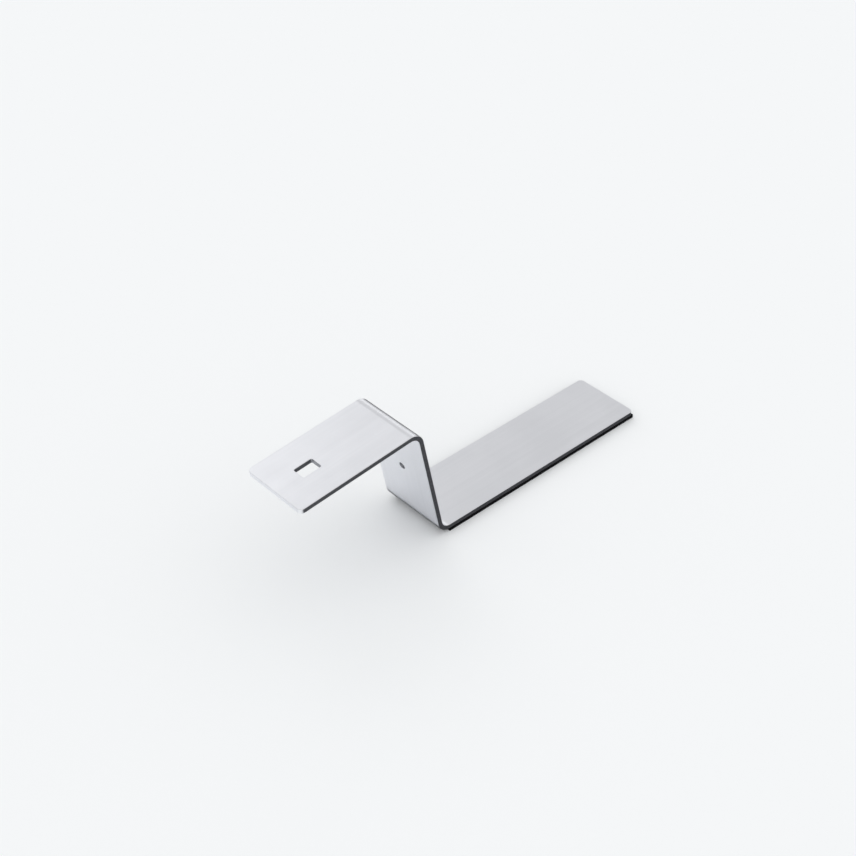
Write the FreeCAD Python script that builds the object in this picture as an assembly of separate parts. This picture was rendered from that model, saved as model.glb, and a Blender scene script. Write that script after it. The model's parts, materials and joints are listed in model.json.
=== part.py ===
import FreeCAD, Part
import math
import os

# Driving sizes, in millimetres and degrees.
# X runs along the strip, from the upper flange's free end to the lower one's.
# Y runs across the strip and Z is up.

# The aluminium strip that the bracket is folded from.
SHEET = 3.0
WIDTH = 45.0
BEND_INSIDE = 6.0

# The folded section, measured on its upper side to the sharp corners
# where its straights would meet.
LOWER_LENGTH = 162.0
WEB_HEIGHT = 80.0
UPPER_LENGTH = 84.0

# The web leans back over the upper flange's side, and the upper flange
# falls away from the web at the slope of the panel that it carries.
WEB_LEAN = 12.0
UPPER_TILT = 5.0

# Rounded plan corners of both free ends, and the deburred edges.
END_CORNER = 3.0
EDGE_BREAK = 0.3

# The slot that takes the square neck of a clamp bolt.
SLOT_LENGTH = 12.3
SLOT_WIDTH = 8.5
SLOT_CORNER = 1.0
SLOT_FROM_END = 23.2

# The small screw hole, and how far up the web's slant it sits.
SCREW_HOLE = 4.2
SCREW_HOLE_UP = 40.5

# The rubber strip bonded under the lower flange, cut square on all sides.
PAD_THICKNESS = 2.25

# How far a cutting tool reaches past the sheet on each side.
CUT_OVERRUN = 2.0
# Two places closer than this are the same place.
NEAR = 0.01

ACROSS = FreeCAD.Vector(0, 1, 0)


def in_section(along, up):
    """A direction or point of the section plane, from its X and Z parts."""
    return FreeCAD.Vector(along, 0, up)


def crossing(point_a, direction_a, point_b, direction_b):
    """Where two lines of the section plane meet."""
    gap = point_b - point_a
    turn = direction_a.z * direction_b.x - direction_a.x * direction_b.z
    reach = (gap.z * direction_b.x - gap.x * direction_b.z) / turn
    return point_a + direction_a * reach


def tangent_arc(before, corner, after, radius):
    """Start, middle and end of the arc that rounds off one corner."""
    back = (before - corner).normalize()
    onward = (after - corner).normalize()
    half_angle = back.getAngle(onward) / 2
    reach = radius / math.tan(half_angle)
    middle_line = (back + onward).normalize()
    centre = corner + middle_line * (radius / math.sin(half_angle))
    return corner + back * reach, centre - middle_line * radius, corner + onward * reach


def rounded_face(corners, radii):
    """A flat face whose corners are rounded, each by its own radius."""
    stops = []
    for number, corner in enumerate(corners):
        radius = radii[number]
        before = corners[number - 1]
        after = corners[(number + 1) % len(corners)]
        if radius > 0:
            stops.append(tangent_arc(before, corner, after, radius))
        else:
            stops.append((corner, corner, corner))
    edges = []
    for number, (start, middle, end) in enumerate(stops):
        if radii[number] > 0:
            edges.append(Part.Arc(start, middle, end).toShape())
        following_start = stops[(number + 1) % len(stops)][0]
        edges.append(Part.makeLine(end, following_start))
    return Part.Face(Part.Wire(edges))


def edges_where(shape, test):
    """The edges whose ends and middle all pass a test."""
    found = []
    for edge in shape.Edges:
        points = [vertex.Point for vertex in edge.Vertexes] + [edge.CenterOfMass]
        if all(test(point) for point in points):
            found.append(edge)
    return found


# Directions along and square to each straight of the section.
lean = math.radians(WEB_LEAN)
tilt = math.radians(UPPER_TILT)
web_up = in_section(-math.sin(lean), math.cos(lean))
web_out = in_section(math.cos(lean), math.sin(lean))
flange_out = in_section(-math.cos(tilt), -math.sin(tilt))
flange_up = in_section(-math.sin(tilt), math.cos(tilt))
foot_out = in_section(1, 0)
foot_up = in_section(0, 1)

# Sharp corners on the upper side of the strip, then on its lower side.
heel = in_section(0, 0)
shoulder = heel + web_up * (WEB_HEIGHT / math.cos(lean))
upper_end = shoulder + flange_out * UPPER_LENGTH
lower_end = heel + foot_out * LOWER_LENGTH
upper_end_under = upper_end - flange_up * SHEET
lower_end_under = lower_end - foot_up * SHEET
shoulder_under = crossing(upper_end_under, flange_out, heel - web_out * SHEET, web_up)
heel_under = crossing(lower_end_under, foot_out, heel - web_out * SHEET, web_up)
BEND_OUTSIDE = BEND_INSIDE + SHEET

# Middles of the slot and of the screw hole, on the upper side of the strip.
slot_middle = upper_end - flange_out * SLOT_FROM_END
screw_hole_middle = heel + web_up * SCREW_HOLE_UP


def folded_bracket():
    """The strip with its two folds, slot, screw hole and deburred edges."""
    outline = [upper_end, shoulder, heel, lower_end,
               lower_end_under, heel_under, shoulder_under, upper_end_under]
    radii = [0, BEND_OUTSIDE, BEND_INSIDE, 0, 0, BEND_OUTSIDE, BEND_INSIDE, 0]
    section = rounded_face(outline, radii)
    section.translate(ACROSS * (-WIDTH / 2))
    bracket = section.extrude(ACROSS * WIDTH)

    corners = [middle + ACROSS * (side * WIDTH / 2) for side in (-1, 1)
               for middle in ((upper_end + upper_end_under) / 2, (lower_end + lower_end_under) / 2)]
    corner_edges = [edge for edge in bracket.Edges for corner in corners
                    if edge.CenterOfMass.isEqual(corner, NEAR)]
    bracket = bracket.makeFillet(END_CORNER, corner_edges)

    # The rim of the whole strip is one smooth chain of edges on each side,
    # so its straight beside the lower flange leads the rounding all the way.
    for level in (0, -SHEET):
        def beside_foot(point):
            return abs(point.z - level) < NEAR and abs(point.y + WIDTH / 2) < NEAR
        bracket = bracket.makeFillet(EDGE_BREAK, edges_where(bracket, beside_foot))

    bracket = bracket.cut(slot_cutter())
    bracket = bracket.cut(screw_hole_cutter())
    bracket = rim_rounded(bracket, slot_middle, flange_up, math.hypot(SLOT_LENGTH, SLOT_WIDTH) / 2)
    return rim_rounded(bracket, screw_hole_middle, web_out, SCREW_HOLE / 2)


def rim_rounded(shape, middle, normal, reach):
    """Deburr both rims of a hole, given its middle on the strip's upper side."""
    for centre in (middle, middle - normal * SHEET):
        def on_rim(point):
            offset = point - centre
            return abs(offset.dot(normal)) < NEAR and offset.Length < reach + NEAR
        shape = shape.makeFillet(EDGE_BREAK, edges_where(shape, on_rim))
    return shape


def slot_cutter():
    """A rounded oblong block, square to the upper flange."""
    depth = SHEET + 2 * CUT_OVERRUN
    block = Part.makeBox(SLOT_LENGTH, SLOT_WIDTH, depth,
                         FreeCAD.Vector(-SLOT_LENGTH / 2, -SLOT_WIDTH / 2, -SHEET - CUT_OVERRUN))
    upright = [edge for edge in block.Edges if abs(edge.tangentAt(edge.FirstParameter).z) > 0.5]
    block = block.makeFillet(SLOT_CORNER, upright)
    block.rotate(FreeCAD.Vector(0, 0, 0), ACROSS, -UPPER_TILT)
    block.translate(slot_middle)
    return block


def screw_hole_cutter():
    """A round drill, square to the web."""
    start = screw_hole_middle + web_out * CUT_OVERRUN
    return Part.makeCylinder(SCREW_HOLE / 2, SHEET + 2 * CUT_OVERRUN, start, -web_out)


def rubber_pad():
    """The strip under the flat of the lower flange, from the fold to the end."""
    fold_edge = tangent_arc(shoulder_under, heel_under, lower_end_under, BEND_OUTSIDE)[2]
    corner = FreeCAD.Vector(fold_edge.x, -WIDTH / 2, -SHEET - PAD_THICKNESS)
    return Part.makeBox(lower_end.x - fold_edge.x, WIDTH, PAD_THICKNESS, corner)


# The part's origin lies on the roof, under the middle of its overall length.
to_row = FreeCAD.Vector(-(upper_end.x + lower_end.x) / 2, 0, SHEET + PAD_THICKNESS)

os.makedirs("parts", exist_ok=True)
for name, solid in (("folded_bracket", folded_bracket()), ("rubber_pad", rubber_pad())):
    solid.translate(to_row)
    solid.exportStep("parts/" + name + ".step")
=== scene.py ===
import bpy
import json
import math
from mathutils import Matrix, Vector


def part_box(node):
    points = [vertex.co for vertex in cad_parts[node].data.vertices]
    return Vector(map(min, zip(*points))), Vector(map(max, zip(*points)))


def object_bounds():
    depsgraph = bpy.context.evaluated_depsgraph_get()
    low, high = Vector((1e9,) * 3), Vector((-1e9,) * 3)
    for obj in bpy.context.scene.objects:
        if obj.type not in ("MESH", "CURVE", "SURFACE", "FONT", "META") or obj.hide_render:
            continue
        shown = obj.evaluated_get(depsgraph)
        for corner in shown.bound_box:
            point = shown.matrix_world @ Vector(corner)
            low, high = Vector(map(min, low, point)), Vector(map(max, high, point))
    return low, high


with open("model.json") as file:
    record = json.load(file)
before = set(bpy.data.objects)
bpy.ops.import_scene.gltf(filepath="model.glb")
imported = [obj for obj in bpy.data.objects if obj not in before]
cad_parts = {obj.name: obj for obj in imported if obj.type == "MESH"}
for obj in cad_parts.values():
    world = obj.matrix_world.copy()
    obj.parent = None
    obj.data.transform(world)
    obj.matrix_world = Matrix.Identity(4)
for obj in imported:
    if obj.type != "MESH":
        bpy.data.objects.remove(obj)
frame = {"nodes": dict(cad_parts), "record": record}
cad_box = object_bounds()

MM = 0.001

# Camera: the point it aims at, and where it stands as seen from there, in degrees.
AIM = Vector((-6.40, 17.35, 41.96)) * MM
CAMERA_AZIMUTH = -42.479
CAMERA_ELEVATION = 38.482
CAMERA_DISTANCE = 930.94 * MM
LENS_MM = 67.447
SENSOR_MM = 36.0

# Floor: one large square of matt pale paper.
FLOOR_SIZE = 60.0
FLOOR_COLOR = (0.900, 0.915, 0.925, 1.0)

# Dark cards just above the floor, which only the metal mirrors, as painted shade: where each starts
# from the strip, and how far it reaches.
CARD_LIFT = 0.4 * MM
FRONT_SHADE_CARD_COLOR = (0.12, 0.12, 0.125, 1.0)
FRONT_CARD_LEFT = -150.0 * MM
FRONT_CARD_GAP = 0.2 * MM
FRONT_CARD_REACH = 0.9
BACK_SHADE_CARD_COLOR = (0.0, 0.0, 0.0, 1.0)
BACK_CARD_GAP = 35.0 * MM
BACK_CARD_REACH = 3.0
# The card under the lower fold, a painted contact shadow that the fold's outside mirrors, reaches
# past the fold's outside and past the strip's back.
FOLD_OUTSIDE = 9.0 * MM
FOLD_CARD_PAST_FOLD = 0.8 * MM
FOLD_CARD_PAST_BACK = 18.0 * MM

# Lamps: name, azimuth, elevation and width in degrees as the object sees them, and
# strength. Each is a wide, far disc, so shadows are soft and the floor is evenly lit.
LAMPS = (
    ("front_left_lamp", -40, 24, 44, 0.120),
    ("back_lamp", 165, 40, 30, 0.128),
    ("back_right_lamp", 127, 16, 17, 0.045),
)
# A far lamp shines the same from anywhere, so this only says where it stands.
LAMP_DISTANCE = 2.5

# World: its strength as light, then as the background at the horizon and above it.
# The background dims between two heights, which are the Z parts of a unit direction.
WORLD_COLOR = (1.0, 1.0, 1.0, 1.0)
WORLD_LIGHT = 0.97
WORLD_SEEN_AT_HORIZON = 0.93
WORLD_SEEN_ABOVE = 0.68
WORLD_DIMS_BETWEEN = (0.09, 0.26)

# Aluminium: colours and roughness of the sheet, its cut edges, rims and drilled wall. The darker
# colours of the cut edges and the drilled wall are painted shade, and the lighter colour of the rims
# is a painted highlight.
SHEET_COLOR = (0.825, 0.835, 0.87, 1.0)
SHEET_DULL_COLOR = (0.78, 0.79, 0.825, 1.0)
SHEET_ROUGHNESS = 0.34
# The cut edges' two colours are darker than the sheet, which is painted shade.
CUT_SHADE_COLOR = (0.272, 0.277, 0.30, 1.0)
CUT_SHADE_BRIGHT_COLOR = (0.385, 0.394, 0.422, 1.0)
CUT_ROUGHNESS = 0.44
# The rims' lighter colour is a painted highlight.
RIM_HIGHLIGHT_COLOR = (0.88, 0.89, 0.91, 1.0)
RIM_ROUGHNESS = 0.28
# The drilled wall's darker colour is painted shade.
BORE_SHADE_COLOR = (0.42, 0.43, 0.46, 1.0)
BORE_ROUGHNESS = 0.55

# How far from their middle lines the walls of the screw hole and of the slot are found,
# and how many times that far a mask round such a line has faded out.
BORE_REACH = 2.2 * MM
SLOT_REACH = 7.7 * MM
REACH_FADE = 1.1

# How squarely a surface faces along Y or Z, from 0 to 1, where each mask starts or ends.
CUT_EDGE_FROM_Y = (0.90, 0.97)
RIM_FROM_Y = (0.15, 0.45)
RIM_TO_Y = (0.80, 0.95)
SLOT_WALL_TO_Z = (0.35, 0.60)
FOLD_FROM_Z = (0.24, 0.45)
FOLD_TO_Z = (0.95, 0.994)
RISING = (0.0, 1.0)
FALLING = (1.0, 0.0)

# Noise: cycles per metre along X, Y and Z, then detail and roughness.
# Y is across the strip, so lines that run along the strip have many cycles along Y.
FINE_LINES = ((18, 2400, 18), 2.0, 0.5)
BROAD_LINES = ((5, 260, 5), 4.0, 0.6)
CLOUDS = ((22, 22, 22), 5.0, 0.55)
SMUDGES = ((60, 75, 60), 6.0, 0.62)
STRAIN = ((900, 45, 900), 3.0, 0.5)
SHEAR_MARKS = ((1500, 300, 1500), 3.0, 0.7)
PEBBLE = ((1400, 1400, 1400), 2.0, 0.6)
DUST = ((90, 90, 90), 6.0, 0.65)
# The part of a noise's range over which it changes a look from one end to the other.
WIDE_PART = (0.30, 0.70)
NARROW_PART = (0.35, 0.65)
DUSTY_PART = (0.50, 0.72)

# What clouds and broad lines each add to the sheet's dullness.
CLOUD_SHARE = 0.6
LINE_SHARE = 0.4
# What smudges, fine lines and strain add to its roughness.
SMUDGE_ROUGHNESS = (-0.012, 0.015)
LINE_ROUGHNESS = (-0.025, 0.025)
STRAIN_ROUGHNESS = (0.0, 0.05)

# Bumps: how deep the marks are, and how strongly they show.
FINE_BUMP = (0.02 * MM, 0.18)
BROAD_BUMP = (0.05 * MM, 0.09)
STRAIN_BUMP = (0.03 * MM, 0.20)
SHEAR_BUMP = (0.05 * MM, 0.35)
PEBBLE_BUMP = (0.08 * MM, 0.35)

# Rubber: its own colour and gloss, and how much dust may cover it.
RUBBER_COLOR = (0.005, 0.005, 0.006, 1.0)
RUBBER_DUST_COLOR = (0.016, 0.016, 0.017, 1.0)
RUBBER_DUST_SHARE = (0.0, 0.6)
RUBBER_ROUGHNESS = (0.70, 0.88)
RUBBER_GLOSS = 0.10


class Nodes:
    """Adds shader nodes to one material or world, and feeds its shader."""

    def __init__(self, owner, shader):
        owner.use_nodes = True
        self.owner = owner
        self.tree = owner.node_tree
        self.shader = self.tree.nodes[shader]
        self.coordinates = self.tree.nodes.new("ShaderNodeTexCoord").outputs

    def plug(self, source, socket):
        """Feeds a socket with another node's output, or with a plain value."""
        if isinstance(source, bpy.types.NodeSocket):
            self.tree.links.new(source, socket)
        else:
            socket.default_value = source

    def give(self, name, source):
        """Feeds one of the shader's own sockets."""
        self.plug(source, self.shader.inputs[name])

    def math(self, operation, *numbers, clamp=False):
        node = self.tree.nodes.new("ShaderNodeMath")
        node.operation = operation
        node.use_clamp = clamp
        for number, socket in zip(numbers, node.inputs):
            self.plug(number, socket)
        return node.outputs[0]

    def times(self, first, second):
        return self.math("MULTIPLY", first, second)

    def vector_math(self, operation, *vectors, result="Vector"):
        node = self.tree.nodes.new("ShaderNodeVectorMath")
        node.operation = operation
        for vector, socket in zip(vectors, node.inputs):
            self.plug(vector, socket)
        return node.outputs[result]

    def between(self, value, limits, results=RISING):
        """Maps a value from its limits to two results, smoothly and clamped."""
        node = self.tree.nodes.new("ShaderNodeMapRange")
        node.interpolation_type = "SMOOTHSTEP"
        sockets = ("Value", "From Min", "From Max", "To Min", "To Max")
        for socket, number in zip(sockets, (value, *limits, *results)):
            self.plug(number, node.inputs[socket])
        return node.outputs["Result"]

    def noise(self, cycles, detail, roughness):
        """Noise whose cycles per metre are given along X, Y and Z."""
        node = self.tree.nodes.new("ShaderNodeTexNoise")
        stretched = self.vector_math("MULTIPLY", self.coordinates["Object"], cycles)
        self.plug(stretched, node.inputs["Vector"])
        node.inputs["Scale"].default_value = 1.0
        node.inputs["Detail"].default_value = detail
        node.inputs["Roughness"].default_value = roughness
        return node.outputs["Fac"]

    def mix(self, share, first, second, kind="RGBA"):
        """Blends two colours, or two numbers where the kind is FLOAT."""
        node = self.tree.nodes.new("ShaderNodeMix")
        node.data_type = kind
        self.plug(share, node.inputs["Factor"])
        self.plug(first, node.inputs["A"])
        self.plug(second, node.inputs["B"])
        return node.outputs["Result"]

    def part_along(self, vector, axis):
        """The X, Y or Z part of a vector."""
        split = self.tree.nodes.new("ShaderNodeSeparateXYZ")
        self.plug(vector, split.inputs[0])
        return split.outputs[axis]

    def facing(self, axis):
        """How squarely the surface faces along an axis, either way, from 0 to 1."""
        return self.math("ABSOLUTE", self.part_along(self.coordinates["Normal"], axis))

    def near_axis(self, middle, axis, reach):
        """One within reach of a line through a point, and nought a little further out."""
        offset = self.vector_math("SUBTRACT", self.coordinates["Object"], middle)
        sideways = self.vector_math("CROSS_PRODUCT", offset, axis)
        distance = self.vector_math("LENGTH", sideways, result="Value")
        return self.between(distance, (reach, reach * REACH_FADE), FALLING)

    def bump(self, height, depth, strength, below=None):
        """Raises a pattern on the surface, or on the bumps that lie below it."""
        node = self.tree.nodes.new("ShaderNodeBump")
        node.inputs["Strength"].default_value = strength
        node.inputs["Distance"].default_value = depth
        self.plug(height, node.inputs["Height"])
        if below is not None:
            self.plug(below, node.inputs["Normal"])
        return node.outputs["Normal"]


def new_material(name):
    return Nodes(bpy.data.materials.new(name), "Principled BSDF")


def aluminium():
    """Mill-finished sheet: rolling lines, faint clouds, strained folds, rougher cut edges darkened
    with painted shade.
    """
    made = new_material("mill_aluminium")
    facing_y = made.facing("Y")
    facing_z = made.facing("Z")
    holes = {mount["name"]: mount for mount in frame["record"]["mounts"]}
    slot = holes["clamp_slot"]
    screw_hole = holes["screw_hole"]

    # The strip's cut edges face along Y, and the slot's walls are cut as well. Their roughness and
    # shear marks are their own; their darker colour is painted shade.
    near_slot = made.near_axis(slot["pos_m"], slot["axis"], SLOT_REACH)
    slot_wall = made.times(made.between(facing_z, SLOT_WALL_TO_Z, FALLING), near_slot)
    shaded_cut_edge = made.math("MAXIMUM", made.between(facing_y, CUT_EDGE_FROM_Y), slot_wall)
    # The rims and the ends' corners face between the cut edges and the flat of the sheet. Their lower
    # roughness is their own; their lighter colour is a painted highlight.
    highlighted_rim = made.times(made.between(facing_y, RIM_FROM_Y), made.between(facing_y, RIM_TO_Y, FALLING))
    highlighted_rim = made.math("SUBTRACT", highlighted_rim, slot_wall, clamp=True)
    # The wall of the screw hole is rougher from the drill, and darker with painted shade.
    shaded_bore = made.near_axis(screw_hole["pos_m"], screw_hole["axis"], BORE_REACH)
    # The folds face neither as the flanges nor as the web.
    fold = made.times(made.between(facing_z, FOLD_FROM_Z), made.between(facing_z, FOLD_TO_Z, FALLING))

    fine_lines = made.noise(*FINE_LINES)
    broad_lines = made.noise(*BROAD_LINES)
    strain = made.noise(*STRAIN)
    shear_marks = made.noise(*SHEAR_MARKS)

    # Colour: dull patches on the sheet, bright specks on the cut edges, painted shade on the cut
    # edges and the drilled wall, and a painted highlight on the rims.
    clouds = made.times(made.noise(*CLOUDS), CLOUD_SHARE)
    patches = made.math("ADD", clouds, made.times(broad_lines, LINE_SHARE))
    color = made.mix(made.between(patches, NARROW_PART), SHEET_COLOR, SHEET_DULL_COLOR)
    cut_shade_color = made.mix(made.between(shear_marks, NARROW_PART), CUT_SHADE_COLOR, CUT_SHADE_BRIGHT_COLOR)
    for mask, special in ((shaded_cut_edge, cut_shade_color), (highlighted_rim, RIM_HIGHLIGHT_COLOR), (shaded_bore, BORE_SHADE_COLOR)):
        color = made.mix(mask, color, special)
    made.give("Base Color", color)

    # Roughness: smudges, rolling lines, and strain where the sheet is folded.
    smudges = made.between(made.noise(*SMUDGES), WIDE_PART, SMUDGE_ROUGHNESS)
    strained = made.times(fold, made.between(strain, WIDE_PART, STRAIN_ROUGHNESS))
    roughness = made.math("ADD", smudges, SHEET_ROUGHNESS)
    for change in (made.between(fine_lines, WIDE_PART, LINE_ROUGHNESS), strained):
        roughness = made.math("ADD", roughness, change)
    for mask, level in ((shaded_cut_edge, CUT_ROUGHNESS), (highlighted_rim, RIM_ROUGHNESS), (shaded_bore, BORE_ROUGHNESS)):
        roughness = made.mix(mask, roughness, level, "FLOAT")
    made.give("Roughness", roughness)

    # Bumps: each pattern only shows where its own mask is.
    sheet_only = made.math("SUBTRACT", 1.0, shaded_cut_edge, clamp=True)
    surface = None
    for pattern, mask, size in (
        (fine_lines, sheet_only, FINE_BUMP),
        (broad_lines, sheet_only, BROAD_BUMP),
        (strain, fold, STRAIN_BUMP),
        (shear_marks, shaded_cut_edge, SHEAR_BUMP),
    ):
        surface = made.bump(made.times(pattern, mask), *size, surface)
    made.give("Normal", surface)
    made.give("Metallic", 1.0)
    return made.owner


def rubber():
    """Matt black rubber with a fine pebble and a little dust."""
    made = new_material("black_rubber")
    pebble = made.noise(*PEBBLE)
    dusty = made.between(made.noise(*DUST), DUSTY_PART, RUBBER_DUST_SHARE)
    made.give("Base Color", made.mix(dusty, RUBBER_COLOR, RUBBER_DUST_COLOR))
    made.give("Roughness", made.between(pebble, WIDE_PART, RUBBER_ROUGHNESS))
    made.give("Normal", made.bump(pebble, *PEBBLE_BUMP))
    made.give("Specular IOR Level", RUBBER_GLOSS)
    return made.owner


def matt(name, color):
    """Plain paper or card, fully rough and without any gloss."""
    made = new_material(name)
    made.give("Base Color", color)
    made.give("Roughness", 1.0)
    made.give("Specular IOR Level", 0.0)
    return made.owner


def dress(node, material):
    """Gives a piece of the object its material."""
    slots = frame["nodes"][node].data.materials
    slots.clear()
    slots.append(material)


def flat_sheet(name, sides, height, material):
    """A level rectangle between its left, front, right and back sides, not part of the object."""
    left, front, right, back = sides
    corners = [(left, front, height), (right, front, height),
               (right, back, height), (left, back, height)]
    mesh = bpy.data.meshes.new(name)
    mesh.from_pydata(corners, [], [(0, 1, 2, 3)])
    mesh.materials.append(material)
    sheet = bpy.data.objects.new(name, mesh)
    bpy.context.scene.collection.objects.link(sheet)
    return sheet


def make_floor():
    half = FLOOR_SIZE / 2
    flat_sheet("floor", (-half, -half, half, half), cad_box[0].z, matt("floor_paper", FLOOR_COLOR))


def make_shade_cards():
    """Cards that only the metal mirrors, as painted shade on the cut edges and a painted shadow on
    the outside of each fold.
    """
    dark = matt("dark_shade_card", FRONT_SHADE_CARD_COLOR)
    black = matt("black_shade_card", BACK_SHADE_CARD_COLOR)
    low, high = cad_box
    front = low.y - FRONT_CARD_GAP
    back = high.y + BACK_CARD_GAP
    fold_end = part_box("rubber_pad")[0].x
    fold_start = fold_end - FOLD_OUTSIDE - FOLD_CARD_PAST_FOLD
    for name, material, sides in (
        ("front_shade_card", dark, (FRONT_CARD_LEFT, front - FRONT_CARD_REACH, FRONT_CARD_REACH, front)),
        ("back_shade_card", black, (fold_end, back, BACK_CARD_REACH, back + BACK_CARD_REACH)),
        ("fold_shadow_card", black, (fold_start, low.y, fold_end, high.y + FOLD_CARD_PAST_BACK)),
    ):
        card = flat_sheet(name, sides, low.z + CARD_LIFT, material)
        card.visible_camera = False
        card.visible_shadow = False
        card.visible_diffuse = False


def direction(azimuth, elevation):
    """Unit vector from the object towards a place round it, given in degrees."""
    around = math.radians(azimuth)
    above = math.radians(elevation)
    return Vector((math.sin(around) * math.cos(above),
                   -math.cos(around) * math.cos(above),
                   math.sin(above)))


def place_round(name, data, azimuth, elevation, distance):
    """Puts a lamp or camera round the object, looking at the point of aim."""
    towards = direction(azimuth, elevation)
    item = bpy.data.objects.new(name, data)
    item.location = AIM + towards * distance
    item.rotation_euler = (-towards).to_track_quat("-Z", "Y").to_euler()
    bpy.context.scene.collection.objects.link(item)
    return item


def make_lamp(name, azimuth, elevation, width, strength):
    """A far lamp that fills a wide disc of the studio, as a large soft box does."""
    data = bpy.data.lights.new(name, "SUN")
    data.angle = math.radians(width)
    data.energy = strength
    place_round(name, data, azimuth, elevation, LAMP_DISTANCE)


def make_world():
    """A white world with one strength as light, and another as what is seen of it."""
    made = Nodes(bpy.data.worlds.new("studio"), "Background")
    height = made.part_along(made.coordinates["Generated"], "Z")
    seen = made.between(height, WORLD_DIMS_BETWEEN, (WORLD_SEEN_AT_HORIZON, WORLD_SEEN_ABOVE))
    path = made.tree.nodes.new("ShaderNodeLightPath").outputs
    seeing = path["Is Camera Ray"]
    for ray in ("Is Glossy Ray", "Is Transmission Ray"):
        seeing = made.math("MAXIMUM", seeing, path[ray])
    made.give("Color", WORLD_COLOR)
    made.give("Strength", made.mix(seeing, WORLD_LIGHT, seen, "FLOAT"))
    bpy.context.scene.world = made.owner


def make_camera():
    data = bpy.data.cameras.new("camera")
    data.lens = LENS_MM
    data.sensor_width = SENSOR_MM
    bpy.context.scene.camera = place_round("camera", data, CAMERA_AZIMUTH, CAMERA_ELEVATION,
                                           CAMERA_DISTANCE)


dress("folded_bracket", aluminium())
dress("rubber_pad", rubber())
make_floor()
make_shade_cards()
for lamp_row in LAMPS:
    make_lamp(*lamp_row)
make_world()
make_camera()
bpy.context.scene.view_settings.view_transform = "Standard"
